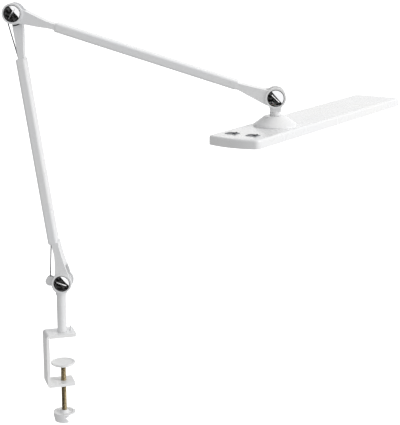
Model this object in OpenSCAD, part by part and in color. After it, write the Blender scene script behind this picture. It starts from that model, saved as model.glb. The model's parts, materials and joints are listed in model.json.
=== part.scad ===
// Swing arm desk lamp on a screw clamp.
// +Z up, +X from the clamp's spine toward the free end of its jaws, Y along the desk's edge.
// Origin on the post's axis, on the underside of the upper jaw, where the clamp sits on the desk.
// Millimetres.

/* [Clamp] */
// width of the clamp's bent plate, along the desk's edge
clamp_w = 34; // [30:1:46]
// thickness of the upper jaw
jaw_t = 5; // [4:0.5:6]
// thickness of the lower jaw and of the spine
spine_t = 4.6; // [4:0.2:5]
// distance from the post's axis back to the spine's outer face
spine_x = 27.2; // [24:0.1:30]
// reach of the jaws in front of the post's axis
jaw_reach = 18.6; // [18:0.1:30]
// clear height between the two jaws
throat = 73; // [64:1:90]
// radius of the clamp screw
screw_r = 3.95; // [3.95:0.05:4]
// distance of the screw's axis in front of the post's axis
screw_x = 0; // [-2:0.5:4]
// height of the pad's top face, below the desk's top face
pad_z = -43; // [-50:1:-30]
// radius of the clamp pad
pad_r = 18.4; // [15:0.1:20]

/* [Post] */
// outer diameter of the post
post_d = 14.4; // [13:0.2:16]
// height of the lower pivot above the desk's top face
pivot_z = 83.6; // [80:0.2:110]

/* [Arms] */
// direction of the arms about the post, from the clamp's +X
arm_yaw = -19.1; // [-60:0.1:60]
// lean of the lower arm, backward from upright
lower_lean = 8.6; // [0:0.1:20]
// slope of the upper arm, downward from level
upper_slope = 17.55; // [5:0.05:30]
// length of the lower arm, between its pivots
lower_len = 400; // [360:1:440]
// length of the upper arm, between its pivots
upper_len = 390.6; // [360:0.2:440]
// width of the arm tubes, in the plane the arms swing in
tube_a = 13.2; // [13:0.1:13.6]
// depth of the arm tubes, along the pivots
tube_b = 27; // [26.6:0.1:28]
// wall thickness of the arm tubes
tube_wall = 1.5; // [1.4:0.1:1.6]
// outer radius of the fork ends
disc_r = 14.6; // [14.4:0.1:15.5]
// radius of the round pivot covers
cap_r = 12; // [11.5:0.1:12]

/* [Head] */
// direction of the head's length, from the direction of the arms
head_turn = 60.3; // [20:0.1:90]
// distance from the head's pivot down to the head's top face
neck_h = 41; // [40:0.2:46]
// thickness of the head
head_t = 13; // [12.6:0.1:15]
// width of the head
head_w = 80; // [74:1:90]
// length of the head in front of the neck
head_far = 362; // [330:1:380]
// length of the head behind the neck
head_near = 128; // [124:1:136]
// radius of the cone's foot
cone_r = 31.4; // [30.6:0.1:33]

/* [Hidden] */

$fn = 72;
elbow_u = pivot_u() - lower_len * sin(lower_lean);
elbow_z = pivot_z + lower_len * cos(lower_lean);
head_u = elbow_u + upper_len * cos(upper_slope);
head_z = elbow_z - upper_len * sin(upper_slope);
gap_h = 9;          // half the opening between the two cheeks of a fork
disc_h = 14.6;      // half the depth over a fork's round ends
neck_hw = 12.9;     // half the depth over a fork's neck
tongue_h = 7.9;     // half the thickness of a tongue
washer_t = 0.75;
pocket_y = 11;      // depth at which a cover's seat starts
bolt_r = 3.95;
slot_h = 2.4;       // half the width of the slots that the spring links run in
link_r = 0.95;
web_t = 2;
plug_l = 18;
base_end = 62;      // where the lower arm's tube starts, from the lower pivot
elbow_end = 66.5;   // where it ends, back from the elbow
upper_start = 64.5; // where the upper arm's tube starts, from the elbow
upper_stop = 59.5;  // where it ends, back from the head's pivot
lug = [-18.8, 1];   // the lower spring link's pin, from the lower pivot
lug_r = 6.7;
elbow_pin = [-11.2, -4.4]; // the upper spring link's pin, along and across the upper arm
link_l = 78;
link2_l = 97;
off_base = -3;      // how far the lower arm's tube lies behind the line through its pivots, at its foot
off_elbow = -0.9;   // and at its top
tube_tilt = atan((off_elbow - off_base) / (lower_len - base_end - elbow_end));
base_q = [lug[0] * cos(lower_lean) + lug[1] * sin(lower_lean), -lug[0] * sin(lower_lean) + lug[1] * cos(lower_lean)];
base_tip = -3.2;
base_a = asin((base_tip - base_q[0]) / link_l);
elbow_q = [-12, -1];
elbow_tip = -1.6;
elbow_a = asin((elbow_tip - elbow_q[0]) / link2_l);
anchor_t = 202;
top = -neck_h;

function pivot_u() = 3.1;
function cr(a, b, c, d, t) = 0.5 * (2 * b + (c - a) * t + (2 * a - 5 * b + 4 * c - d) * t * t + (3 * b - a - 3 * c + d) * t * t * t);
function smooth(p, n) = concat([for (i = [0:len(p) - 2]) for (k = [0:n - 1])
  cr(p[max(i - 1, 0)], p[i], p[i + 1], p[min(i + 2, len(p) - 1)], k / n)], [p[len(p) - 1]]);
function rev(p) = [for (i = [len(p) - 1:-1:0]) p[i]];
function arc(c, r, a0, a1, n) = [for (i = [0:n]) c + r * [cos(a0 + (a1 - a0) * i / n), sin(a0 + (a1 - a0) * i / n)]];

// frames
module arm_frame() rotate([0, 0, arm_yaw]) children();
module lower_frame() arm_frame() translate([pivot_u(), 0, pivot_z]) rotate([0, -lower_lean, 0]) children();
module upper_frame() arm_frame() translate([elbow_u, 0, elbow_z]) rotate([0, upper_slope, 0]) children();
module neck_frame() arm_frame() translate([head_u, 0, head_z]) children();
module head_frame() neck_frame() rotate([0, 0, head_turn]) children();
// fitting frames: +X away from the pivot into the arm, +Z toward the fitting's closed side
module at_base() lower_frame() rotate([0, -90, 0]) mirror([0, 0, 1]) children();
module at_elbow_below() lower_frame() translate([0, 0, lower_len]) rotate([0, 90, 0]) children();
module at_elbow_above() upper_frame() children();
module at_head() upper_frame() translate([upper_len, 0, 0]) mirror([1, 0, 0]) children();

module slab(y0, y1) translate([0, y1, 0]) rotate([90, 0, 0]) linear_extrude(height = y1 - y0) children();
module pair(y0, y1) { slab(y0, y1) children(); slab(-y1, -y0) children(); }
module rrect(a, b, r) { square([a - 2 * r, b], center = true); square([a, b - 2 * r], center = true);
  for (x = [-1, 1], y = [-1, 1]) translate([x * (a / 2 - r), y * (b / 2 - r)]) circle(r = r, $fn = 48); }

// arm fittings: closed edge, open edge and end of each, as distance along and across
base_up = smooth([[0, 11.8], [12, 11.5], [20, 10.2], [28, 8.5], [36, 7.2], [44, 6.3], [56, 5.2], [base_end, 5.1]], 5);
base_dn = smooth([[0, -11.4], [12, -9], [22, -6.7], [31, -5.2], [44, -4], [54, -4.8], [base_end, -5]], 5);
elbow_up = smooth([[0, 12.4], [10, 9.9], [29, 6.9], [48, 4.3], [57, 3.9], [upper_start, 3.9]], 6);
elbow_dn = smooth([[0, -12.4], [8, -11.8], [19, -9.6], [38, -7.2], [56, -4.4], [upper_start, -4.3]], 6);
head_up = smooth([[0, 10.6], [14, 7.4], [27, 5.7], [40, 4.7], [53, 3.9], [upper_stop, 3.9]], 6);
head_dn = smooth([[0, -13.6], [12.6, -13.2], [22.5, -11.4], [35, -9.1], [50, -6.2], [upper_stop, -5]], 6);
tongue_up = smooth([[0, 8.6], [10, 10.2], [21, 10.4], [35, 8.4], [50, 6], [61, 4.7], [elbow_end, 4.6]], 5);
tongue_dn = [[0, -8.2], [5, -7.2], [9.4, -3.9], [elbow_end, -4.2]];

module closed(p, from, t) polygon(concat([for (q = p) if (q[0] >= from) q], rev([for (q = p) if (q[0] >= from) [q[0], q[1] - t]])));
module core(len) linear_extrude(height = len) rrect(tube_a - 2 * tube_wall - 0.3, tube_b - 2 * tube_wall - 0.3, 1.35);
module plug(end, prong, off) translate([0, 0, off]) difference() {
  translate([end - 1, 0, 0]) rotate([0, 90, 0]) core(plug_l + 1);
  translate([end - 2, -prong, -10]) cube([plug_l + 3, 2 * prong, 20]);
}
module rim(end, off, d = 0.8) translate([end - 1.6, 0, off]) rotate([0, 90, 0]) linear_extrude(height = 1.6) rrect(tube_a - d, tube_b - d, 2.8 - d / 4);

// a forked arm end: two cheeks round the pivot, a neck that is closed on one side, and a plug for the tube
module fork(up, dn, end, from, prong, notch, off) difference() {
  union() {
    pair(gap_h, disc_h) circle(r = disc_r);
    pair(gap_h, neck_hw) polygon(concat(up, rev(dn)));
    slab(-neck_hw, neck_hw) closed(up, from, web_t);
    plug(end, prong, off);
    rim(end, off, notch > 0 ? 2.2 : 0.8);
  }
  pair(pocket_y, disc_h + 1) circle(r = cap_r + 0.12);
  slab(-20, 20) circle(r = bolt_r + 0.05, $fn = 48);
  if (notch > 0) translate([end - 3, -slot_h, -11]) cube([plug_l + 4, 2 * slot_h, 11 + notch]);
}

module clamp_frame() color("white") difference() {
  slab(-clamp_w / 2, clamp_w / 2) difference() {
    union() {
      translate([-spine_x, -throat - spine_t]) square([spine_x + jaw_reach, throat + spine_t + jaw_t]);
    }
    translate([-spine_x + spine_t, -throat]) square([spine_x + jaw_reach, throat]);
    // outer bend at the top
    translate([-spine_x - 1, jaw_t - 4.8]) difference() { square([5.8, 5.8]); translate([5.8, 0]) circle(r = 4.8); }
    // outer bend at the bottom
    translate([-spine_x - 1, -throat - spine_t - 1]) difference() { square([5.4, 5.4]); translate([5.4, 5.4]) circle(r = 4.4); }
    // the lower jaw is a little shorter
    translate([jaw_reach - 3, -throat - spine_t - 1]) square([9, spine_t + 2]);
  }
  // inner bend relief
  translate([0, 0, -0.4]) slab(-clamp_w, clamp_w) translate([-spine_x + spine_t - 0.1, 0]) circle(r = 1.2, $fn = 24);
  // rounded corners at the free ends
  for (y = [-1, 1], q = [[jaw_reach, -20], [jaw_reach - 3, -throat - 20]]) translate([q[0], y * clamp_w / 2, q[1]]) linear_extrude(height = 40) difference() {
    translate([-2, -2]) square([4, 4]); translate([-2, -2 * y]) circle(r = 2, $fn = 32);
    translate([-4, -4]) square([2, 8]); translate([-2, -2 * y - (y > 0 ? 4 : 0)]) square([4, 4]); }
  // bore for the post's spigot
  translate([0, 0, -1]) cylinder(r = 5.03, h = jaw_t + 2);
  // threaded hole for the screw
  translate([screw_x, 0, -throat - spine_t - 1]) cylinder(r = 4, h = spine_t + 2);
  // hole for the stud
  translate([13, 0, -1]) cylinder(r = 1.52, h = jaw_t + 2, $fn = 32);
}

post_top = pivot_z - 20.4;
module post() color("white") difference() {
  union() {
    translate([0, 0, jaw_t]) cylinder(d = post_d, h = post_top - jaw_t);
    translate([0, 0, 0.6]) cylinder(r = 5, h = jaw_t);
  }
  translate([0, 0, jaw_t + 4]) cylinder(r = 5.2, h = post_top);
}
module post_bush() color("ivory") difference() {
  translate([0, 0, jaw_t + 4.2]) cylinder(r = 5.15, h = post_top - jaw_t - 4.2);
  translate([0, 0, jaw_t + 6]) cylinder(r = 4.05, h = post_top);
}
module jaw_stud() color("white") translate([13, 0, 0.6]) {
  cylinder(r = 1.5, h = jaw_t + 7.2, $fn = 32);
  translate([0, 0, jaw_t - 0.6]) cylinder(r1 = 2.6, r2 = 1.5, h = 2.2, $fn = 32);
}

// screw, knob and pad
knob_z = -124.6;
module clamp_screw() color("goldenrod") translate([screw_x, 0, 0]) {
  translate([0, 0, knob_z - 6]) cylinder(r = screw_r, h = pad_z - 3.6 - knob_z + 4.6);
  translate([0, 0, pad_z - 5]) cylinder(r = 2.4, h = 3.4);
}
module knob() color("white") translate([screw_x, 0, knob_z]) difference() {
  union() {
    rotate_extrude($fn = 96) polygon([[0, -3], [12.2, -3], [17, -0.6], [17, 1], [13.4, 1], [10.5, -0.6], [7.6, -0.6], [5.8, 4], [0, 4]]);
    translate([0, 0, -8.4]) cylinder(r = 6.6, h = 6);
    rotate([0, 0, 170]) difference() {
      rotate([0, 0, -3]) rotate_extrude(angle = 122, $fn = 96) polygon([[13.6, -1.5], [17, -0.6], [16.4, -6], [15, -13], [13, -13], [13.6, -6]]);
      // the leaf's two slanting ends
      translate([0, 0, -1.5]) rotate([18, 0, 0]) translate([4, -12, -20]) cube([20, 12, 30]);
      rotate([0, 0, 90]) translate([0, 0, -1.5]) rotate([32, 0, 0]) translate([4, 0, -20]) cube([20, 16, 30]);
    }
  }
  translate([0, 0, -6.1]) cylinder(r = screw_r + 0.03, h = 20);
  // notch in the ring
  rotate([0, 0, 22]) translate([11, -1.4, -0.8]) cube([8, 2.8, 5]);
}
module clamp_pad() color("white") translate([screw_x, 0, pad_z]) difference() {
  rotate_extrude($fn = 96) polygon([[0, -5.4], [6.5, -5.4], [6.5, -4.4], [pad_r - 2, -4.4], [pad_r, -3], [pad_r, -0.4], [pad_r - 0.5, 0], [pad_r - 2.6, 0], [pad_r - 4.4, -1], [pad_r - 9, -1.3], [0, -1.3]]);
  translate([0, 0, -6]) cylinder(r = 2.45, h = 4.55);
  translate([0, 0, -6]) cylinder(r = 4.1, h = 1.6);
}

// base of the arms
module base_bracket() color("white") difference() {
  union() {
    arm_frame() translate([pivot_u(), 0, pivot_z]) {
      pair(slot_h, tongue_h) { circle(r = 12.4); polygon([[-10, 6], [-17, 4], [-17, -4], [-13.6, -12.2], [-9.4, -16], [5.4, -16], [8.6, -13], [9, 0], [0, 8]]); }
      slab(-slot_h - 1, slot_h + 1) { circle(r = 10.3); polygon([[-8, -4], [-8, -16], [5.4, -16], [8.6, -13], [9, -2]]); }
      pair(slot_h, 6.2) translate(lug) circle(r = lug_r);
    }
    translate([0, 0, post_top + 0.3]) cylinder(r = 8.4, h = 7.8);
  }
  arm_frame() translate([pivot_u(), 0, pivot_z]) {
    slab(-20, 20) circle(r = bolt_r + 0.05, $fn = 48);
    slab(-4.6, 4.6) translate(lug) circle(r = 1.62, $fn = 32);
    // shallow dish in each face of the lug
    pair(5, 9) translate(lug) circle(r = 4.9, $fn = 48);
  }
  translate([0, 0, post_top]) cylinder(r = 4.03, h = 7);
}
module base_spindle() color("silver") translate([0, 0, jaw_t + 6.3]) {
  cylinder(r = 4, h = post_top - jaw_t);
}
module base_link_pin() color("silver") arm_frame() translate([pivot_u(), 0, pivot_z]) slab(-4.5, 4.5) translate(lug) circle(r = 1.6, $fn = 32);

module washers() pair(tongue_h + 0.03, tongue_h + washer_t) difference() { circle(r = 9); circle(r = bolt_r + 0.06, $fn = 48); }
module base_washers() color("gainsboro") arm_frame() translate([pivot_u(), 0, pivot_z]) washers();
module elbow_washers() color("gainsboro") arm_frame() translate([elbow_u, 0, elbow_z]) washers();
module head_washers() color("gainsboro") neck_frame() washers();

// round pivot covers with a coin slot, turned as given
cap_up = 1.6;       // height of a cover's dome above the fork
dome_r = 35;
module caps(turn) for (s = [0, 180]) rotate([0, 0, s]) rotate([0, s == 0 ? turn : -turn, 0]) difference() {
  translate([0, -disc_h - cap_up, 0]) rotate([-90, 0, 0]) rotate_extrude($fn = 96)
    polygon(concat([for (i = [0:8]) let (r = (cap_r - 0.7) * i / 8) [r, dome_r - sqrt(dome_r * dome_r - r * r)]],
      // groove round the dome
      [[cap_r - 0.7, 2.7], [cap_r, 2.7], [cap_r, disc_h + cap_up - pocket_y - 0.1], [cap_r - 1, disc_h + cap_up - pocket_y - 0.1], [cap_r - 1, 3.6], [0, 2.2]]));
  translate([-7.8, -disc_h - 3, -0.9]) cube([15.6, 2.8, 1.8]);
}
module bolt() {
  slab(-pocket_y - 2, pocket_y + 1.9) circle(r = bolt_r, $fn = 48);
  slab(-pocket_y - 2, -pocket_y - 0.05) circle(r = 6.4);
}
module nut() slab(pocket_y + 0.05, pocket_y + 2) difference() { circle(r = 6.4, $fn = 6); circle(r = bolt_r + 0.03, $fn = 48); }

module lower_caps() color("dimgray") lower_frame() caps(26.3);
module lower_bolt() color("silver") lower_frame() bolt();
module lower_nut() color("silver") lower_frame() nut();
module upper_caps() color("dimgray") { upper_frame() caps(-76); upper_frame() translate([upper_len, 0, 0]) caps(26.3); }
module upper_bolts() color("silver") { upper_frame() bolt(); upper_frame() translate([upper_len, 0, 0]) bolt(); }
module upper_nuts() color("silver") { upper_frame() nut(); upper_frame() translate([upper_len, 0, 0]) nut(); }

module lower_fork() color("white") at_base() fork(base_up, base_dn, base_end, 24, slot_h + 1.1, 3, off_base + 0.07);
module tube(len) linear_extrude(height = len) difference() {
  rrect(tube_a, tube_b, 3); rrect(tube_a - 2 * tube_wall, tube_b - 2 * tube_wall, 1.5); }
rivet_r = 1.6;
module rivet_holes(z0, z1) for (z = [z0 + plug_l / 2, z1 - plug_l / 2]) translate([0, -20, z]) rotate([-90, 0, 0]) cylinder(r = rivet_r + 0.03, h = 40, $fn = 32);
module rivets(z0, z1) for (z = [z0 + plug_l / 2, z1 - plug_l / 2], s = [-1, 1]) translate([0, 0, z]) rotate([s * 90, 0, 0]) {
  translate([0, 0, tube_b / 2 - tube_wall + 0.02]) cylinder(r = rivet_r, h = tube_wall - 0.1, $fn = 32); }
module tube_frame() lower_frame() translate([off_base, 0, base_end]) rotate([0, tube_tilt, 0]) translate([0, 0, -base_end]) children();
module lower_tube() color("white") tube_frame() difference() {
  translate([0, 0, base_end]) tube(lower_len - base_end - elbow_end);
  rivet_holes(base_end, lower_len - elbow_end);
  // mouths for the two spring links
  translate([-tube_a, -slot_h, base_end - 1]) cube([tube_a, 2 * slot_h, 19]);
  translate([-tube_a, -slot_h, lower_len - elbow_end - 18]) cube([tube_a, 2 * slot_h, 19]);
  // cord hole in the back
  translate([0, 0, 96]) rotate([-90, 0, 0]) cylinder(r = 4.03, h = 30, $fn = 48);
}
module lower_tube_rivets() color("white") tube_frame() rivets(base_end, lower_len - elbow_end);
module cord_gland() color("white") tube_frame() translate([0, 0, 96]) rotate([-90, 0, 0]) difference() {
  union() { translate([0, 0, tube_b / 2 - 2.4]) cylinder(r = 4, h = 5, $fn = 48); translate([0, 0, tube_b / 2 + 0.02]) cylinder(r1 = 5.6, r2 = 4.6, h = 2.6, $fn = 48); }
  cylinder(r = 2.6, h = 30, $fn = 48);
}
// the lower arm's tongue at the elbow: two leaves and a closed edge, so the spring link can run between the leaves
module elbow_tongue() color("white") at_elbow_below() difference() {
  union() {
    pair(slot_h, tongue_h) { circle(r = 9.6); polygon(concat(tongue_up, rev(tongue_dn))); }
    slab(-slot_h - 1, slot_h + 1) { circle(r = 7.2); closed(tongue_up, 2, 2.4); }
    plug(elbow_end, slot_h, off_elbow - 0.07);
    rim(elbow_end, off_elbow);
  }
  slab(-20, 20) circle(r = bolt_r + 0.05, $fn = 48);
  translate([elbow_end - 4, -slot_h, -11]) cube([plug_l + 6, 2 * slot_h, 14]);
  // arc groove in both faces, along the fork's round end
  pair(tongue_h - 2.4, tongue_h + 1) difference() { circle(r = 18, $fn = 96); circle(r = 16.3, $fn = 96); }
}

// balance springs inside the lower tube, and the links that pull them
function coil(r, wr, pitch, turns, n, m) = [for (i = [0:turns * n]) let (a = 360 * i / n) for (j = [0:m - 1])
  [(r + wr * cos(360 * j / m)) * cos(a), (r + wr * cos(360 * j / m)) * sin(a), pitch * i / n + wr * sin(360 * j / m)]];
module helix(r, wr, pitch, turns, n = 12, m = 5) {
  k = turns * n;
  polyhedron(points = coil(r, wr, pitch, turns, n, m), faces = concat(
    [[for (j = [m - 1:-1:0]) j]], [[for (j = [0:m - 1]) k * m + j]],
    [for (i = [0:k - 1], j = [0:m - 1]) [i * m + (j + 1) % m, (i + 1) * m + (j + 1) % m, (i + 1) * m + j, i * m + j]]), convexity = 20);
}
module torus(r, wr) rotate_extrude($fn = 32) translate([r, 0]) circle(r = wr, $fn = 16);
module spring(tip, tip_s, end, side, mid) {
  // hook through the link's eye, stem, coil and end plug
  translate([tip_s, 0, tip + 2.2]) rotate([0, 0, side]) rotate([0, 90, 0]) torus(2.2, 0.6);
  translate([tip_s, 0, tip + 4.2]) cylinder(r = 0.6, h = 9, $fn = 16);
  translate([mid, 0, tip + 12.2]) cylinder(r = 2.8, h = 9, $fn = 32);
  let (n = floor((end - tip - 17) / 4.6)) translate([mid, 0, tip + 15]) helix(3.5, 0.9, (end - tip - 16.5) / n, n);
}
module link(a, len, side) rotate([0, a, 0]) {
  rotate([90, 0, 0]) torus(2.75, link_r);
  translate([0, 0, 2.6]) cylinder(r = link_r, h = len - 4.7, $fn = 24);
  translate([0, 0, len]) rotate([0, 0, side]) rotate([90, 0, 0]) torus(2.2, 0.8);
}
module base_link() color("silver") lower_frame() translate([base_q[0], 0, base_q[1]]) link(base_a, link_l, 90);
module elbow_link() color("silver") lower_frame() translate([0, 0, lower_len]) mirror([0, 0, 1]) translate([elbow_q[0], 0, elbow_q[1]]) link(elbow_a, link2_l, 90);
base_tip_t = base_q[1] + link_l * cos(base_a);
elbow_tip_t = elbow_q[1] + link2_l * cos(elbow_a);
module base_spring() color("silver") lower_frame() spring(base_tip_t, base_tip, anchor_t - 6, 90, -2.35);
module elbow_spring() color("silver") lower_frame() translate([0, 0, lower_len]) mirror([0, 0, 1]) spring(elbow_tip_t, elbow_tip, lower_len - anchor_t - 6, 90, -1.5);
module spring_anchor() color("gray") tube_frame() translate([0, 0, anchor_t]) {
  translate([0, 0, -4]) core(8);
  translate([0, 0, -9]) cylinder(r = 2.1, h = 18, $fn = 32);
}

module elbow_fork() color("white") difference() { at_elbow_above() fork(elbow_up, elbow_dn, upper_start, 13, 3, 0, 0);
  at_elbow_above() slab(-10.9, 10.9) translate(elbow_pin) circle(r = 1.52, $fn = 32); }
module elbow_link_pin() color("silver") at_elbow_above() slab(-10.6, 10.6) translate(elbow_pin) circle(r = 1.5, $fn = 32);
module head_fork() color("white") at_head() fork(head_up, head_dn, upper_stop, 15, 3, 0, 0);
module upper_tube() color("white") upper_frame() rotate([0, 90, 0]) difference() {
  translate([0, 0, upper_start]) tube(upper_len - upper_start - upper_stop);
  rivet_holes(upper_start, upper_len - upper_stop);
}
module upper_tube_rivets() color("white") upper_frame() rotate([0, 90, 0]) rivets(upper_start, upper_len - upper_stop);

// neck and swivel
cone_top = top + 14.5;
module neck() color("white") neck_frame() difference() {
  union() {
    slab(-tongue_h, tongue_h) { circle(r = 12.4); polygon([[-12.2, 0], [-9.4, -12], [-7.9, -17], [-7.9, -20], [7.9, -20], [7.9, -17], [9.4, -12], [12.2, 0]]); }
    translate([0, 0, cone_top + 0.3]) cylinder(r = 7.9, h = 10);
  }
  slab(-20, 20) circle(r = bolt_r + 0.05, $fn = 48);
  translate([0, 0, cone_top]) cylinder(r = 5.03, h = 9);
  // set screw hole
  translate([0, 0, cone_top + 4.6]) rotate([-90, 0, 0]) cylinder(r = 1.53, h = 12, $fn = 24);
}
module neck_set_screw() color("dimgray") neck_frame() translate([0, 0, cone_top + 4.6]) rotate([-90, 0, 0]) translate([0, 0, 5.1]) difference() {
  cylinder(r = 1.5, h = 2.4, $fn = 24); translate([0, 0, 1.4]) cylinder(r = 0.8, h = 2, $fn = 6); }
module swivel_spindle() color("silver") neck_frame() translate([0, 0, cone_top - 11.6]) cylinder(r = 5, h = 20);
module swivel_washer() color("silver") neck_frame() translate([0, 0, cone_top - 5.2]) difference() { cylinder(r = 9, h = 0.9); translate([0, 0, -1]) cylinder(r = 5.05, h = 4); }
module swivel_nut() color("silver") neck_frame() translate([0, 0, cone_top - 10.3]) difference() { cylinder(r = 8.6, h = 5, $fn = 6); translate([0, 0, -1]) cylinder(r = 5.03, h = 8); }

boss = [for (a = [45:90:315]) 22.6 * [cos(a), sin(a)]];
module cone() color("white") head_frame() difference() {
  union() {
    difference() {
      translate([0, 0, cone_top]) rotate([180, 0, 0]) rotate_extrude($fn = 120) polygon([[0, 0], [15.4, 0], [16.2, 0.7], [cone_r - 1, 11.2], [cone_r, 13], [cone_r, 14.5], [0, 14.5]]);
      translate([0, 0, cone_top]) rotate([180, 0, 0]) rotate_extrude($fn = 120) polygon([[0, 4], [16, 4], [cone_r - 3, 12.4], [cone_r - 3, 15], [0, 15]]);
    }
    for (b = boss) translate([b[0], b[1], top]) cylinder(r = 3.2, h = 5.4, $fn = 32);
  }
  translate([0, 0, cone_top - 6]) cylinder(r = 5.06, h = 8);
  for (b = boss) translate([b[0], b[1], top - 1]) cylinder(r = 1.53, h = 4.6, $fn = 24);
}
module cone_screws() color("silver") head_frame() for (b = boss) translate([b[0], b[1], 0]) {
  translate([0, 0, top - 2.6]) cylinder(r = 1.5, h = 5.8, $fn = 24);
  translate([0, 0, top - 4.2]) cylinder(r = 2.8, h = 1.8, $fn = 32);
}

// head
function outline(d) = let (w = head_w / 2 - d, R = 93 - d, c = 9 - d, f = head_far - d, fr = 6 - min(d, 3),
  cx = 93 - head_near, x = sqrt((R - c) * (R - c) - (w - c) * (w - c)), th = atan2(w - c, -x))
  concat(arc([f - fr, w - fr], fr, 0, 90, 10), arc([cx - x, w - c], c, 90, th, 10), arc([cx, 0], R, th, 360 - th, 28),
    arc([cx - x, c - w], c, 360 - th, 270, 10), arc([f - fr, fr - w], fr, 270, 360, 10));
module plate(d, z0, z1) translate([0, 0, z0]) linear_extrude(height = z1 - z0) polygon(outline(d));
sw_x = -92;
sw = [[sw_x, 17], [sw_x, -15.5]];
module head_cover() color("white") head_frame() difference() {
  plate(0, top - head_t, top);
  plate(2.2, top - head_t - 1, top - 2.4);
  for (s = sw) translate([s[0], s[1], top - 1]) cube([11, 15.4, 8], center = true);
  for (b = boss) translate([b[0], b[1], top - 5]) cylinder(r = 1.56, h = 8, $fn = 24);
  // opening for the wiring under the cone
  translate([0, 0, top - 5]) cylinder(r = 9, h = 8);
}
module heat_plate() color("lightgray") head_frame() difference() {
  plate(2.6, top - 4.1, top - 2.6);
  translate([-head_near - 5, -60, top - 8]) cube([head_near - 30, 120, 12]);
  translate([0, 0, top - 8]) cylinder(r = 28, h = 12);
}
module led_board() color("honeydew") head_frame() difference() {
  translate([34, -27, top - 5.8]) cube([head_far - 42, 54, 1.6]);
  for (x = [60, 200, 340]) translate([x, 0, top - 8]) cylinder(r = 1.7, h = 6, $fn = 24);
}
module led_chips() color("khaki") head_frame() for (i = [0:23], y = [-18, 0, 18]) translate([44 + i * 13 - 1.5, y + (y == 0 ? 5 : 0) - 1.5, top - 6.75]) cube([3, 3, 0.9]);
module diffuser() color([1, 1, 1, 0.8]) head_frame() plate(2.35, top - head_t + 0.4, top - head_t + 2.4);
module driver_board() color("darkgreen") head_frame() {
  translate([-58, -29, top - 9.4]) cube([56, 58, 1.6]);
  translate([-52, -20, top - 7.82]) cube([16, 14, 4.6]);
  translate([-50, 8, top - 7.82]) cube([12, 12, 4]);
  for (y = [-14, 0, 14]) translate([-26, y, top - 7.82]) cylinder(r = 3.2, h = 3.3, $fn = 32);
}
rock = 8;
module switch_housings() color("dimgray") head_frame() for (s = sw) translate([s[0], s[1], top]) difference() {
  union() {
    translate([-5.3, -7.5, -8.6]) cube([10.6, 15, 8.7]);
    translate([-6.1, -8.5, 0.05]) cube([12.2, 17, 0.9]);
  }
  translate([-4.2, -6.7, -6.8]) cube([8.4, 13.4, 9]);
  // sockets for the rocker's pivots
  translate([-4.8, 0, -1.4]) rotate([0, 90, 0]) cylinder(r = 1.05, h = 9.6, $fn = 32);
}
module rocker() { rotate([0, 90, 0]) translate([0, 0, -4.7]) cylinder(r = 1, h = 9.4, $fn = 32);
  rotate([-rock, 0, 0]) translate([-3.9, 0, 0]) rotate([90, 0, 90]) linear_extrude(height = 7.8) polygon([[-5.9, 3.1], [-0.9, 2.1], [-0.6, 1.7], [0.6, 1.7], [0.9, 2.1], [5.9, 3.1], [6, -0.2], [3, -3], [-3, -3], [-6, -0.2]]); }
module rocker_left() color("black") head_frame() translate([sw[0][0], sw[0][1], top - 1.4]) rocker();
module rocker_right() color("black") head_frame() translate([sw[1][0], sw[1][1], top - 1.4]) rocker();

clamp_frame();
post();
post_bush();
jaw_stud();
clamp_screw();
knob();
clamp_pad();
base_bracket();
base_spindle();
base_link_pin();
base_washers();
lower_fork();
lower_tube();
elbow_tongue();
lower_caps();
lower_bolt();
lower_nut();
lower_tube_rivets();
elbow_washers();
spring_anchor();
base_spring();
elbow_spring();
base_link();
elbow_link();
cord_gland();
elbow_fork();
upper_tube();
head_fork();
upper_caps();
upper_bolts();
upper_nuts();
upper_tube_rivets();
elbow_link_pin();
neck();
neck_set_screw();
swivel_spindle();
swivel_washer();
swivel_nut();
head_washers();
cone();
cone_screws();
head_cover();
heat_plate();
led_board();
led_chips();
diffuser();
driver_board();
switch_housings();
rocker_left();
rocker_right();
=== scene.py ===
import json, math
import bpy, bmesh
from mathutils import Vector, Matrix


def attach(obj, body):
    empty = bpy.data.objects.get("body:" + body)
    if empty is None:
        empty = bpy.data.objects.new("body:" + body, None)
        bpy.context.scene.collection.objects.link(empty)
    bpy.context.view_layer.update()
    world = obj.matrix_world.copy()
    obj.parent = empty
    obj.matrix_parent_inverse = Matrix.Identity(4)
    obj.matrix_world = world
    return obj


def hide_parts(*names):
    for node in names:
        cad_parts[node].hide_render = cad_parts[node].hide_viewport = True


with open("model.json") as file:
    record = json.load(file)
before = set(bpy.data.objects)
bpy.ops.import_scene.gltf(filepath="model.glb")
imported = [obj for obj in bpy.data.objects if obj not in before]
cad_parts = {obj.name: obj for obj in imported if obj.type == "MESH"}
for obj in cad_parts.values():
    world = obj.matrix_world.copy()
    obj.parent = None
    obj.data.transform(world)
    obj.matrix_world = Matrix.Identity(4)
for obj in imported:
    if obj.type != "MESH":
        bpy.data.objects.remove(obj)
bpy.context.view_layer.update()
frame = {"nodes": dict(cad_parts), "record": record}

N = frame["nodes"]
scene = bpy.context.scene
rad = math.radians

# ---------------------------------------------------------------- lamp geometry, as in part.scad
YAW, LEAN, SLOPE, TURN = rad(-19.1), rad(8.6), rad(17.55), rad(60.3)
PU, PZ, L1, L2, NECK_H = 0.0031, 0.0836, 0.400, 0.3906, 0.041
EU, EZ = PU - L1 * math.sin(LEAN), PZ + L1 * math.cos(LEAN)
HU, HZ = EU + L2 * math.cos(SLOPE), EZ - L2 * math.sin(SLOPE)
ARM = Matrix.Rotation(YAW, 4, "Z")
M_BASE = ARM @ Matrix.Translation((PU, 0, PZ)) @ Matrix.Rotation(-LEAN, 4, "Y")
M_ELBOW = ARM @ Matrix.Translation((EU, 0, EZ)) @ Matrix.Rotation(SLOPE, 4, "Y")
M_HEADJ = M_ELBOW @ Matrix.Translation((L2, 0, 0))
M_HEAD = ARM @ Matrix.Translation((HU, 0, HZ)) @ Matrix.Rotation(TURN, 4, "Z")

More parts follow.
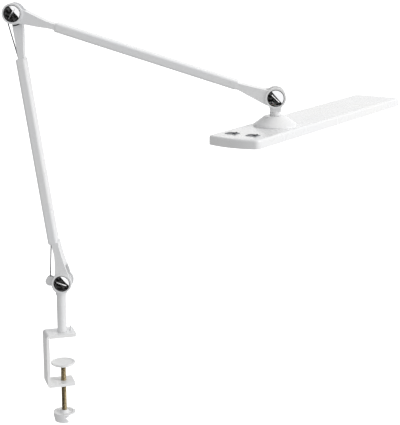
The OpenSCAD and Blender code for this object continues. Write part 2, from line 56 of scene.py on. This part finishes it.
# ---------------------------------------------------------------- camera
cam = bpy.data.cameras.new("cam")
cam_o = bpy.data.objects.new("cam", cam)
scene.collection.objects.link(cam_o)
cam.sensor_fit = "HORIZONTAL"; cam.sensor_width = 36.0; cam.lens = 108.15
cam.clip_start = 0.05; cam.clip_end = 50
cam_o.location = (-0.3016, -1.7067, 0.5994)
cam_o.rotation_euler = (rad(90 - 13.42), 0, rad(-16.9))
scene.camera = cam_o

# ---------------------------------------------------------------- materials
def lin(v):
    v /= 255.0
    return v / 12.92 if v <= 0.04045 else ((v + 0.055) / 1.055) ** 2.4

def rgb(r, g, b):
    return (lin(r), lin(g), lin(b), 1.0)

class Mat:
    """A Principled material with procedural colour, roughness and bump."""
    def __init__(self, name, metallic=0.0, ior=None, coat=0.0, coat_rough=0.05):
        self.m = bpy.data.materials.new(name)
        self.m.use_nodes = True
        self.t = self.m.node_tree
        self.bsdf = self.t.nodes["Principled BSDF"]
        self.bsdf.inputs["Metallic"].default_value = metallic
        if ior: self.bsdf.inputs["IOR"].default_value = ior
        self.bsdf.inputs["Coat Weight"].default_value = coat
        self.bsdf.inputs["Coat Roughness"].default_value = coat_rough
        self.co = self.node("ShaderNodeTexCoord")
    def node(self, kind, **kw):
        n = self.t.nodes.new(kind)
        for k, v in kw.items(): setattr(n, k, v)
        return n
    def link(self, a, b): self.t.links.new(a, b)
    def noise(self, scale, detail=3.0, rough=0.5, stretch=None):
        n = self.node("ShaderNodeTexNoise")
        n.inputs["Scale"].default_value = scale
        n.inputs["Detail"].default_value = detail
        n.inputs["Roughness"].default_value = rough
        src = self.co.outputs["Object"]
        if stretch:
            mp = self.node("ShaderNodeMapping"); mp.inputs["Scale"].default_value = stretch
            self.link(src, mp.inputs["Vector"]); src = mp.outputs["Vector"]
        self.link(src, n.inputs["Vector"])
        return n.outputs["Fac"]
    def ramp(self, fac, stops, interp="LINEAR"):
        r = self.node("ShaderNodeValToRGB"); r.color_ramp.interpolation = interp
        el = r.color_ramp.elements
        el[0].position, el[0].color = stops[0]
        el[1].position, el[1].color = stops[-1]
        for p, c in stops[1:-1]:
            e = el.new(p); e.color = c
        self.link(fac, r.inputs["Fac"])
        return r.outputs["Color"]
    def remap(self, fac, a, b, c, d):
        r = self.node("ShaderNodeMapRange")
        for k, v in (("From Min", a), ("From Max", b), ("To Min", c), ("To Max", d)): r.inputs[k].default_value = v
        self.link(fac, r.inputs["Value"])
        return r.outputs["Result"]
    def mix(self, fac, a, b, blend="MIX"):
        n = self.node("ShaderNodeMix", data_type="RGBA", blend_type=blend)
        if isinstance(fac, float): n.inputs[0].default_value = fac
        else: self.link(fac, n.inputs[0])
        for s, v in ((6, a), (7, b)):
            if isinstance(v, tuple): n.inputs[s].default_value = v
            else: self.link(v, n.inputs[s])
        return n.outputs[2]
    def edges(self, lo=0.52, hi=0.62):
        g = self.node("ShaderNodeNewGeometry")
        return self.remap(g.outputs["Pointiness"], lo, hi, 0.0, 1.0)
    def crease(self, lo=0.40, hi=0.48):
        g = self.node("ShaderNodeNewGeometry")
        return self.remap(g.outputs["Pointiness"], lo, hi, 1.0, 0.0)
    def color(self, c): self.link(c, self.bsdf.inputs["Base Color"])
    def rough(self, r): self.link(r, self.bsdf.inputs["Roughness"])
    def bump(self, h, strength=0.1, dist=0.0005, prev=None):
        b = self.node("ShaderNodeBump"); b.inputs["Strength"].default_value = strength; b.inputs["Distance"].default_value = dist
        self.link(h, b.inputs["Height"])
        if prev: self.link(prev, b.inputs["Normal"])
        self.link(b.outputs["Normal"], self.bsdf.inputs["Normal"])
        return b.outputs["Normal"]

def white(name, base, r0, r1, peel=900.0, peel_s=0.05, edge_highlight=0.35, grain=0.0):
    m = Mat(name, coat=0.25, coat_rough=0.08)
    soft = m.noise(9.0, 2.0)
    dust = m.noise(60.0, 5.0, 0.6)
    b = tuple(base)
    warm = (b[0], b[1] * 0.994, b[2] * 0.975, 1); cool = (b[0] * 0.985, b[1] * 0.99, b[2], 1)
    col = m.ramp(soft, [(0.3, cool), (0.7, warm)])
    # handling marks: a little greyer in random patches
    grime = m.remap(dust, 0.62, 0.8, 0.0, 0.10)
    col = m.mix(grime, col, (b[0] * 0.80, b[1] * 0.79, b[2] * 0.76, 1))
    # painted shade: the creases are darkened as if in shadow
    painted_crease_shade = m.remap(m.crease(), 0.0, 1.0, 0.0, 0.22)
    col = m.mix(painted_crease_shade, col, (b[0] * 0.62, b[1] * 0.62, b[2] * 0.62, 1))
    # painted edge highlight: the convex edges painted brighter in random patches
    edge_highlight_mask = m.node("ShaderNodeMath", operation="MULTIPLY")
    m.link(m.edges(), edge_highlight_mask.inputs[0]); m.link(m.remap(m.noise(140.0, 4.0), 0.4, 0.7, 0.0, edge_highlight), edge_highlight_mask.inputs[1])
    col = m.mix(edge_highlight_mask.outputs[0], col, (min(1, b[0] * 1.06), min(1, b[1] * 1.06), min(1, b[2] * 1.05), 1))
    m.color(col)
    m.rough(m.remap(m.noise(35.0, 4.0), 0.3, 0.7, r0, r1))
    n1 = m.bump(m.noise(peel, 1.0), peel_s, 0.0002)
    if grain: m.bump(m.noise(260.0, 4.0), grain, 0.0003, n1)
    return m.m

W_PAINT = white("white_paint", (0.86, 0.865, 0.875), 0.24, 0.34)
W_CAST = white("white_casting", (0.855, 0.86, 0.872), 0.27, 0.38, peel=700.0, peel_s=0.07, grain=0.05)
W_PLAST = white("white_plastic", (0.87, 0.872, 0.88), 0.22, 0.32, peel=1200.0, peel_s=0.03, edge_highlight=0.2)

def metal(name, base, dark, r0, r1, scale=60.0, stretch=None, bump=0.06, metallic=1.0, edge=0.4):
    m = Mat(name, metallic=metallic)
    n = m.noise(scale, 5.0, 0.55, stretch)
    col = m.ramp(n, [(0.3, dark), (0.65, base)])
    # painted shade: creases darkened towards the dark tone
    col = m.mix(m.remap(m.crease(), 0, 1, 0.0, 0.6), col, tuple(x * 0.45 for x in dark[:3]) + (1,))
    # painted edge highlight: convex edges painted brighter
    edge_highlight_mask = m.remap(m.edges(), 0, 1, 0.0, edge)
    col = m.mix(edge_highlight_mask, col, tuple(min(1.0, x * 1.25 + 0.03) for x in base[:3]) + (1,))
    m.color(col)
    m.rough(m.remap(n, 0.3, 0.7, r0, r1))
    m.bump(m.noise(scale * 6, 3.0, 0.5, stretch), bump, 0.0002)
    return m.m

CHROME = metal("chrome_cap", (0.86, 0.86, 0.87, 1), (0.80, 0.80, 0.815, 1), 0.035, 0.075, scale=120.0, bump=0.012, edge=0.1)
MILLED = metal("milled_slot", (0.95, 0.95, 0.96, 1), (0.84, 0.84, 0.86, 1), 0.20, 0.32, scale=400.0, stretch=(1, 6, 1), metallic=0.9)
BRASS = metal("brass_plate", (0.42, 0.35, 0.22, 1), (0.24, 0.19, 0.11, 1), 0.18, 0.30, scale=220.0)
STEEL = metal("steel", (0.60, 0.61, 0.63, 1), (0.46, 0.47, 0.49, 1), 0.22, 0.36, scale=180.0)
SPRING = metal("spring_steel", (0.50, 0.50, 0.52, 1), (0.36, 0.36, 0.38, 1), 0.25, 0.4, scale=240.0)
ZINC = metal("cast_zinc", (0.42, 0.42, 0.43, 1), (0.30, 0.30, 0.31, 1), 0.45, 0.6, scale=90.0, bump=0.2)
ALU = metal("plain_aluminium", (0.78, 0.79, 0.80, 1), (0.66, 0.67, 0.68, 1), 0.3, 0.45, scale=80.0, stretch=(1, 18, 1))

def plastic(name, base, dark, r0, r1, scale=90.0, bump=0.12, coat=0.0, edge=0.25):
    m = Mat(name, coat=coat)
    n = m.noise(scale, 4.0)
    col = m.ramp(n, [(0.3, dark), (0.7, base)])
    # painted edge highlight on the convex edges, then painted shade in the creases
    col = m.mix(m.remap(m.edges(), 0, 1, 0.0, edge), col, tuple(min(1.0, x * 1.3 + 0.015) for x in base[:3]) + (1,))
    col = m.mix(m.remap(m.crease(), 0, 1, 0.0, 0.35), col, tuple(x * 0.5 for x in dark[:3]) + (1,))
    m.color(col); m.rough(m.remap(n, 0.3, 0.7, r0, r1))
    m.bump(m.noise(scale * 9, 2.0), bump, 0.0002)
    return m.m

NYLON = plastic("nylon", (0.80, 0.79, 0.73, 1), (0.72, 0.71, 0.65, 1), 0.4, 0.55)
RUBBER = plastic("white_rubber", (0.74, 0.74, 0.74, 1), (0.66, 0.66, 0.66, 1), 0.6, 0.8, bump=0.25)
GREY = plastic("grey_plastic", (0.30, 0.31, 0.33, 1), (0.24, 0.25, 0.27, 1), 0.38, 0.5)
# near-black material for the rings and strips that stand in for shade in grooves: painted shade
PAINTED_SHADE = plastic("painted_shade", (0.020, 0.020, 0.022, 1), (0.012, 0.012, 0.013, 1), 0.5, 0.7, edge=0.1)
DARK = plastic("dark_plastic", (0.030, 0.030, 0.034, 1), (0.018, 0.018, 0.020, 1), 0.28, 0.4, edge=0.6)
MARK = plastic("switch_mark", (0.60, 0.60, 0.62, 1), (0.5, 0.5, 0.52, 1), 0.4, 0.5)
BOARDW = plastic("board_white", (0.80, 0.81, 0.78, 1), (0.74, 0.75, 0.72, 1), 0.35, 0.5)
LEDY = plastic("led_yellow", (0.80, 0.66, 0.20, 1), (0.72, 0.58, 0.15, 1), 0.25, 0.35)
BOARDG = plastic("board_green", (0.02, 0.13, 0.045, 1), (0.015, 0.09, 0.03, 1), 0.3, 0.45)

def opal():
    m = Mat("opal", coat=0.2)
    n = m.noise(14.0, 3.0)
    m.color(m.ramp(n, [(0.3, (0.84, 0.845, 0.84, 1)), (0.7, (0.88, 0.88, 0.865, 1))]))
    m.rough(m.remap(m.noise(90.0, 4.0), 0.3, 0.7, 0.30, 0.42))
    m.bsdf.inputs["Subsurface Weight"].default_value = 0.25
    m.bsdf.inputs["Subsurface Scale"].default_value = 0.004
    m.bump(m.noise(900.0, 2.0), 0.08, 0.0002)
    return m.m
OPAL = opal()

SLOTS = {"white_paint": W_PAINT, "white_casting": W_CAST, "white_plastic": W_PLAST, "chrome_cap": CHROME, "brass_plate": BRASS,
         "steel": STEEL, "spring_steel": SPRING, "cast_zinc": ZINC, "plain_aluminium": ALU, "nylon": NYLON, "white_rubber": RUBBER,
         "grey_plastic": GREY, "dark_plastic": DARK, "opal": OPAL, "board_white": BOARDW, "led_yellow": LEDY, "board_green": BOARDG}
slot_of = {s["node"]: s.get("material_slot", s["node"]) for s in frame["record"]["subparts"]}
for name, o in N.items():
    m = SLOTS[slot_of[name]]
    o.data.materials.clear(); o.data.materials.append(m)

# ---------------------------------------------------------------- finish of the CAD pieces
def soften(name, width=0.0006, segs=3, angle=28, smooth=True):
    o = N[name]
    o.data.shade_smooth()
    w = o.modifiers.new("weld", "WELD"); w.merge_threshold = 2e-6
    d = o.modifiers.new("flat", "DECIMATE"); d.decimate_type = "DISSOLVE"; d.angle_limit = rad(0.6)
    if width:
        b = o.modifiers.new("bevel", "BEVEL"); b.width = width; b.segments = segs; b.limit_method = "ANGLE"; b.angle_limit = rad(angle)
        b.harden_normals = True; b.use_clamp_overlap = True; b.miter_outer = "MITER_ARC"
    n = o.modifiers.new("wn", "WEIGHTED_NORMAL"); n.keep_sharp = True; n.weight = 70
    return o

BEVELS = {"clamp_frame": 0.0008, "post": 0.0005, "jaw_stud": 0.0003, "knob": 0.0007, "clamp_pad": 0.0005, "base_bracket": 0.0007,
          "lower_fork": 0.0006, "elbow_fork": 0.0006, "head_fork": 0.0006, "elbow_tongue": 0.0006, "lower_tube": 0.0003, "upper_tube": 0.0003,
          "neck": 0.0006, "cone": 0.0006, "cord_gland": 0.0004, "lower_tube_rivets": 0.0002, "upper_tube_rivets": 0.0002,
          "head_cover": 0.0016, "diffuser": 0.0004, "switch_housings": 0.0003, "rocker_left": 0.0003, "rocker_right": 0.0003,
          "base_link_pin": 0.0002, "elbow_link_pin": 0.0002, "neck_set_screw": 0.0001}
for name, o in N.items():
    soften(name, BEVELS.get(name, 0.0), 4 if name == "head_cover" else 3)

def round_top(name, width, segs):
    """A wider rounding along the outer top edge only: the top corners that also stand on the bottom face."""
    o = N[name]
    me = o.data
    zs = [v.co.z for v in me.vertices]; zt, zb = max(zs), min(zs)
    foot = {(round(v.co.x, 5), round(v.co.y, 5)) for v in me.vertices if v.co.z < zb + 2e-5}
    near = [(dx * 1e-5, dy * 1e-5) for dx in (-1, 0, 1) for dy in (-1, 0, 1)]
    g = o.vertex_groups.new(name="top_edge")
    idx = [v.index for v in me.vertices if v.co.z > zt - 2e-5 and any((round(v.co.x + a, 5), round(v.co.y + b, 5)) in foot for a, b in near)]
    g.add(idx, 1.0, "REPLACE")
    b = o.modifiers.new("top_round", "BEVEL"); b.width = width; b.segments = segs; b.limit_method = "VGROUP"; b.vertex_group = g.name
    b.harden_normals = True; b.use_clamp_overlap = True
    o.modifiers.move(len(o.modifiers) - 1, 2)
    print("ROUND", name, len(idx))
round_top("head_cover", 0.0034, 6)

# ---------------------------------------------------------------- helpers for new pieces
def fitw(x, y, z):
    """A direction given as right, away and up in the picture, in the part's frame."""
    c, s = math.cos(rad(16.9)), math.sin(rad(16.9))
    return Vector((x * c + y * s, -x * s + y * c, z))
def new_obj(name, bm, mat, body, matrix=None, smooth=True, weighted=True):
    me = bpy.data.meshes.new(name)
    bmesh.ops.recalc_face_normals(bm, faces=bm.faces)
    bm.to_mesh(me); bm.free()
    o = bpy.data.objects.new(name, me)
    scene.collection.objects.link(o)
    if matrix is not None:
        me.transform(matrix)
        if matrix.determinant() < 0: me.flip_normals()
    me.materials.append(mat)
    if smooth: me.shade_smooth()
    if weighted:
        w = o.modifiers.new("wn", "WEIGHTED_NORMAL"); w.keep_sharp = True; w.weight = 60
    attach(o, body)
    return o

def lathe(bm, prof, n=96, close=True):
    """Turns (radius, height) points about Z. Points at radius 0 close the form."""
    rings = []
    for r, z in prof:
        if r < 1e-9: rings.append([bm.verts.new((0, 0, z))])
        else: rings.append([bm.verts.new((r * math.cos(2 * math.pi * i / n), r * math.sin(2 * math.pi * i / n), z)) for i in range(n)])
    for a, b in zip(rings, rings[1:]):
        for i in range(n):
            j = (i + 1) % n
            if len(a) == 1 and len(b) == 1: continue
            if len(a) == 1: bm.faces.new((a[0], b[i], b[j]))
            elif len(b) == 1: bm.faces.new((a[i], b[0], a[j]))
            else: bm.faces.new((a[i], b[i], b[j], a[j]))
    return bm

def box_bm(size, centre=(0, 0, 0), bevel=0.0):
    bm = bmesh.new()
    bmesh.ops.create_cube(bm, size=1.0)
    bmesh.ops.scale(bm, vec=size, verts=bm.verts)
    bmesh.ops.translate(bm, vec=centre, verts=bm.verts)
    if bevel: bmesh.ops.bevel(bm, geom=list(bm.edges), offset=bevel, segments=3, profile=0.5, affect="EDGES")
    return bm

def cut(o, bms):
    """Cuts shapes out of a mesh object and keeps the result."""
    cutters = []
    for k, bm in enumerate(bms):
        me = bpy.data.meshes.new("cutter"); bmesh.ops.recalc_face_normals(bm, faces=bm.faces); bm.to_mesh(me); bm.free()
        c = bpy.data.objects.new("cutter", me); scene.collection.objects.link(c); cutters.append(c)
        md = o.modifiers.new("cut%d" % k, "BOOLEAN"); md.operation = "DIFFERENCE"; md.solver = "EXACT"; md.object = c
    dg = bpy.context.evaluated_depsgraph_get()
    me = bpy.data.meshes.new_from_object(o.evaluated_get(dg))
    for md in list(o.modifiers): o.modifiers.remove(md)
    o.data = me
    for c in cutters: bpy.data.objects.remove(c)
    return o

# ---------------------------------------------------------------- pivot covers: low domes with a coin slot
CAP_R, DOME_R, SEAT, FACE, DOME = 0.0120, 0.0113, 0.0111, 0.0162, 0.035
def cap_profile():
    p = [(0, FACE)]
    for i in range(1, 29):
        r = (DOME_R - 0.00015) * i / 28
        p.append((r, FACE - DOME + math.sqrt(DOME * DOME - r * r)))
    z0 = p[-1][1]; r0 = p[-1][0]
    # tight rolled rim
    p += [(r0 + 0.00009, z0 - 0.00006), (DOME_R, z0 - 0.0002), (DOME_R, FACE - 0.0027), (CAP_R - 0.0001, FACE - 0.0027), (CAP_R, FACE - 0.0028),
          (CAP_R, SEAT), (CAP_R - 0.001, SEAT), (CAP_R - 0.001, FACE - 0.0036), (0, FACE - 0.0030)]
    return p
CAP_REAR = {}
def make_cap(name, joint, body, turn, node):
    for side in (0, 1):
        bm = lathe(bmesh.new(), cap_profile(), 128)
        # Z of the cap becomes -Y (front) or +Y (back) of the arm
        face = Matrix.Rotation(rad(90), 4, "X")
        M = joint @ Matrix.Rotation(rad(180 * side), 4, "Z") @ Matrix.Rotation(rad(turn if side == 0 else -turn), 4, "Y") @ face
        o = new_obj("%s_%s" % (name, "front" if side == 0 else "back"), bm, CHROME, body, None, weighted=False)
        s = box_bm((0.0156, 0.0018, 0.0036), (0, 0, FACE + 0.0003), 0.0003)
        cut(o, [s])
        # milled floor of the slot, sloping to one side
        tilt = (M.to_3x3() @ Vector((0, 1, 0))).dot(fitw(0.75, 0, 0.66))
        lowy = 1 if tilt > 0 else -1
        fl = bmesh.new(); zb = FACE - 0.00149
        sec = [(-0.00084, zb), (0.00084, zb), (0.00084, zb + (0.00012 if lowy > 0 else 0.00072)), (-0.00084, zb + (0.00072 if lowy > 0 else 0.00012))]
        ends = [[fl.verts.new((x, y, z)) for y, z in sec] for x in (-0.0074, 0.0074)]
        for i in range(4): fl.faces.new((ends[0][i], ends[0][(i + 1) % 4], ends[1][(i + 1) % 4], ends[1][i]))
        fl.faces.new(ends[0][::-1]); fl.faces.new(ends[1])
        bmesh.ops.bevel(fl, geom=list(fl.edges), offset=0.00004, segments=2, profile=0.5, affect="EDGES")
        new_obj("%s_slot_%d" % (name, side), fl, MILLED, body, M, weighted=False)
        o.data.transform(M); o.data.shade_smooth()
        # dark ring in the groove round the cover: painted shade in the groove
        sl = lathe(bmesh.new(), [(DOME_R + 0.00004, FACE - 0.00262), (DOME_R + 0.00004, FACE - 0.00195), (DOME_R + 0.00030, FACE - 0.00180), (CAP_R - 0.00022, FACE - 0.00180), (CAP_R - 0.00004, FACE - 0.00195), (CAP_R - 0.00004, FACE - 0.00262), (DOME_R + 0.00004, FACE - 0.00262)], 96)
        bmesh.ops.remove_doubles(sl, verts=sl.verts, dist=1e-7)
        new_obj("%s_shade_ring_%d" % (name, side), sl, PAINTED_SHADE, body, M, weighted=False)
        w = o.modifiers.new("bevel", "BEVEL"); w.width = 0.00012; w.segments = 2; w.limit_method = "ANGLE"; w.angle_limit = rad(40); w.harden_normals = True
        if side == 0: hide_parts(node)
make_cap("cap_base", M_BASE, "lower_arm", 26.3, "lower_caps")
make_cap("cap_elbow", M_ELBOW, "upper_arm", -76, "upper_caps")
make_cap("cap_headjoint", M_HEADJ, "upper_arm", 26.3, "upper_caps")

# ---------------------------------------------------------------- dark strips in the arc grooves below the elbow: painted shade under the elbow disc
M_TONGUE = M_BASE @ Matrix.Translation((0, 0, L1))
for side in (-1, 1):
    bm = bmesh.new(); rows = []
    n = 16
    for i in range(n + 1):
        a = rad(-12 + 46 * i / n)
        rows.append([bm.verts.new((rr * math.sin(a), side * yy, -rr * math.cos(a))) for rr, yy in ((0.01640, 0.00560), (0.01640, 0.00745), (0.01790, 0.00745), (0.01790, 0.00560))])
    for a, b in zip(rows, rows[1:]):
        for k in range(4): bm.faces.new((a[k], a[(k + 1) % 4], b[(k + 1) % 4], b[k]))
    bm.faces.new(rows[0][::-1]); bm.faces.new(rows[-1])
    new_obj("elbow_strip_%s" % ("front" if side < 0 else "back"), bm, PAINTED_SHADE, "lower_arm", M_TONGUE, smooth=False, weighted=False)

# ---------------------------------------------------------------- clamp screw with its thread
def thread_screw():
    x0 = 0.0; z0 = -0.1306; z1 = -0.0480
    R, D, P = 0.00395, 0.00062, 0.00125
    bm = bmesh.new(); n = 40; k = 10
    turns = int(round((z1 - z0) / P)); rows = turns * k
    grid = []
    for i in range(rows + 1):
        ring = []
        for j in range(n):
            z = z0 + (z1 - z0) * i / rows
            ph = ((z - z0) / P - j / n) % 1.0
            t = abs(ph - 0.5) * 2
            prof = min(1.0, max(0.0, (t - 0.12) / 0.76))
            fade = min(1.0, (z1 - z) / 0.0012, (z - z0) / 0.0012)
            r = R - D * (1 - prof) - (1 - max(0.0, fade)) * 0.0007
            a = 2 * math.pi * j / n
            ring.append(bm.verts.new((x0 + r * math.cos(a), r * math.sin(a), z)))
        grid.append(ring)
    for a, b in zip(grid, grid[1:]):
        for j in range(n):
            bm.faces.new((a[j], a[(j + 1) % n], b[(j + 1) % n], b[j]))
    bm.faces.new(grid[0][::-1])
    # swivel tip that sits in the pad
    prev = grid[-1]
    for r, z in ((0.0030, z1), (0.0024, z1 + 0.0002), (0.0024, z1 + 0.0032), (0.0020, z1 + 0.0036)):
        ring = [bm.verts.new((x0 + r * math.cos(2 * math.pi * j / n), r * math.sin(2 * math.pi * j / n), z)) for j in range(n)]
        for j in range(n): bm.faces.new((prev[j], prev[(j + 1) % n], ring[(j + 1) % n], ring[j]))
        prev = ring
    bm.faces.new(prev)
    o = new_obj("clamp_screw_thread", bm, BRASS, "screw", None, weighted=False)
    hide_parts("clamp_screw")
thread_screw()

# the covers mirror the studio, not the head below them
N["head_cover"].visible_glossy = False

# ---------------------------------------------------------------- stage
def plane(name, size, loc, rot=(0, 0, 0)):
    bm = bmesh.new(); bmesh.ops.create_grid(bm, x_segments=1, y_segments=1, size=size / 2)
    me = bpy.data.meshes.new(name); bm.to_mesh(me); bm.free()
    o = bpy.data.objects.new(name, me); scene.collection.objects.link(o)
    o.location = loc; o.rotation_euler = rot
    return o
floor = plane("floor", 40, (0, 0, -0.70))
fm = bpy.data.materials.new("floor"); fm.use_nodes = True
fb = fm.node_tree.nodes["Principled BSDF"]
fb.inputs["Base Color"].default_value = (0.93, 0.93, 0.93, 1); fb.inputs["Roughness"].default_value = 0.9
fb.inputs["Specular IOR Level"].default_value = 0.0
fb.inputs["Emission Color"].default_value = (1, 1, 1, 1); fb.inputs["Emission Strength"].default_value = 1.0
floor.data.materials.append(fm)
# the lamp takes its light from the studio round it, not from this floor
floor.visible_glossy = False; floor.visible_diffuse = False

# ---------------------------------------------------------------- light
def area(name, loc, target, size, power, sy=None):
    l = bpy.data.lights.new(name, "AREA"); l.energy = power; l.size = size
    if sy: l.shape = "RECTANGLE"; l.size_y = sy
    o = bpy.data.objects.new(name, l); scene.collection.objects.link(o)
    o.location = loc
    d = Vector(target) - Vector(loc)
    o.rotation_euler = d.to_track_quat("-Z", "Y").to_euler()
    return o
mid = Vector((0.13, -0.04, 0.22))
key = area("key", mid + fitw(2.6, -0.7, 1.3), mid, 1.8, 40.0)
topl = area("top", mid + fitw(0.6, 0.4, 3.0), mid, 2.4, 5.0)

# light thrown back by the table, on the clamp
low = area("low", fitw(0.10, -0.42, -0.20), (0, 0, -0.03), 0.35, 0.22)
low.visible_glossy = False

w = bpy.data.worlds.new("studio"); scene.world = w; w.use_nodes = True
nt = w.node_tree; nt.nodes.clear()
def nn(kind, **kw):
    n = nt.nodes.new(kind)
    for k, v in kw.items(): setattr(n, k, v)
    return n
def mth(op, a, b=None):
    n = nn("ShaderNodeMath", operation=op)
    for i, v in enumerate((a, b)):
        if v is None: continue
        if isinstance(v, (int, float)): n.inputs[i].default_value = v
        else: nt.links.new(v, n.inputs[i])
    return n.outputs[0]
def dot(vec, d):
    n = nn("ShaderNodeVectorMath", operation="DOT_PRODUCT")
    nt.links.new(vec, n.inputs[0]); n.inputs[1].default_value = tuple(d)
    return n.outputs["Value"]
tc = nn("ShaderNodeTexCoord"); D = tc.outputs["Generated"]
lp = nn("ShaderNodeLightPath")
right, away, up = dot(D, fitw(1, 0, 0)), dot(D, fitw(0, 1, 0)), dot(D, (0, 0, 1))
# fill: brighter from the right and above, dimmer from the left
fill = mth("ADD", mth("ADD", mth("ADD", 0.508, mth("MULTIPLY", right, 0.13)), mth("MULTIPLY", up, 0.08)), mth("MULTIPLY", away, -0.11))
# mirror room: dark on the camera's side below a slanting edge, white elsewhere
edge = mth("ADD", mth("MULTIPLY", right, 0.75), mth("MULTIPLY", up, 0.66))
front = mth("LESS_THAN", away, -0.35)
below = mth("LESS_THAN", edge, 0.019)
darkm = mth("MULTIPLY", front, below)
noi = nn("ShaderNodeTexNoise"); noi.inputs["Scale"].default_value = 5.0; noi.inputs["Detail"].default_value = 2.0
nt.links.new(D, noi.inputs["Vector"])
dk = mth("MULTIPLY", mth("MAXIMUM", mth("SUBTRACT", noi.outputs["Fac"], 0.45), 0.0), 0.35)
leftm = nn("ShaderNodeMapRange"); nt.links.new(right, leftm.inputs["Value"])
for k, v in (("From Min", -0.55), ("From Max", -0.2), ("To Min", 0.35), ("To Max", 1.15)): leftm.inputs[k].default_value = v
gl = mth("ADD", mth("MULTIPLY", darkm, mth("ADD", dk, 0.004)), mth("MULTIPLY", mth("SUBTRACT", 1.0, darkm), leftm.outputs["Result"]))
isg = lp.outputs["Is Glossy Ray"]; isc = lp.outputs["Is Camera Ray"]
val = mth("ADD", mth("MULTIPLY", isg, gl), mth("MULTIPLY", mth("SUBTRACT", 1.0, isg), fill))
val = mth("ADD", mth("MULTIPLY", isc, 1.0), mth("MULTIPLY", mth("SUBTRACT", 1.0, isc), val))
bg = nn("ShaderNodeBackground"); nt.links.new(val, bg.inputs["Strength"]); bg.inputs["Color"].default_value = (1, 1, 1, 1)
out = nn("ShaderNodeOutputWorld"); nt.links.new(bg.outputs[0], out.inputs[0])

scene.view_settings.view_transform = "Standard"
scene.view_settings.look = "None"
scene.view_settings.exposure = 0.0
